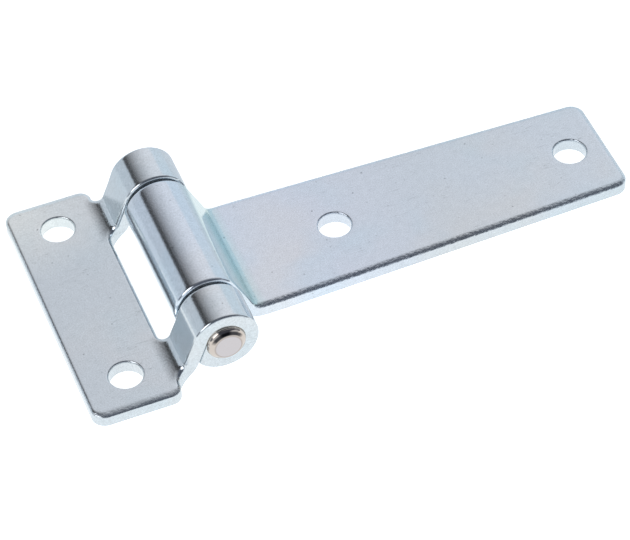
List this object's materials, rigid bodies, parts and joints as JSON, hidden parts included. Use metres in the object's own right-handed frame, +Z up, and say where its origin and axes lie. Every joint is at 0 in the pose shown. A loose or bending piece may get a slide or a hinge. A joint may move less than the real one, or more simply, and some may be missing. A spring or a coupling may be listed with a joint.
{
  "type": "toolbox hinge",
  "caption": "Bolt-on strap hinge in zinc-plated folded sheet: a short leaf with rolled ears and a tapered strap leaf turn on a plain pin, for a toolbox lid or hatch.",
  "frame": {"origin": "middle of the short leaf's two bolt holes, on the underside that lies on the mounting surface", "axes": "+X from the short leaf to the strap's end, +Y along the hinge pin, +Z up from the mounting surface to the knuckles"},
  "size_m": [0.1229, 0.061, 0.0149],
  "materials": {
    "zinc_plate": "satin zinc plate",
    "pin_steel": "bright steel"
  },
  "bodies": {
    "short_leaf": {"short_leaf": "zinc_plate", "hinge_pin": "pin_steel"},
    "strap_leaf": {"strap_leaf": "zinc_plate"}
  },
  "joints": [
    {"name": "strap_turn", "type": "hinge", "parent": "short_leaf", "child": "strap_leaf", "pos_m": [0.02, 0, 0.0079], "axis": [0, -1, 0], "range_deg": [-105, 195]}
  ]
}
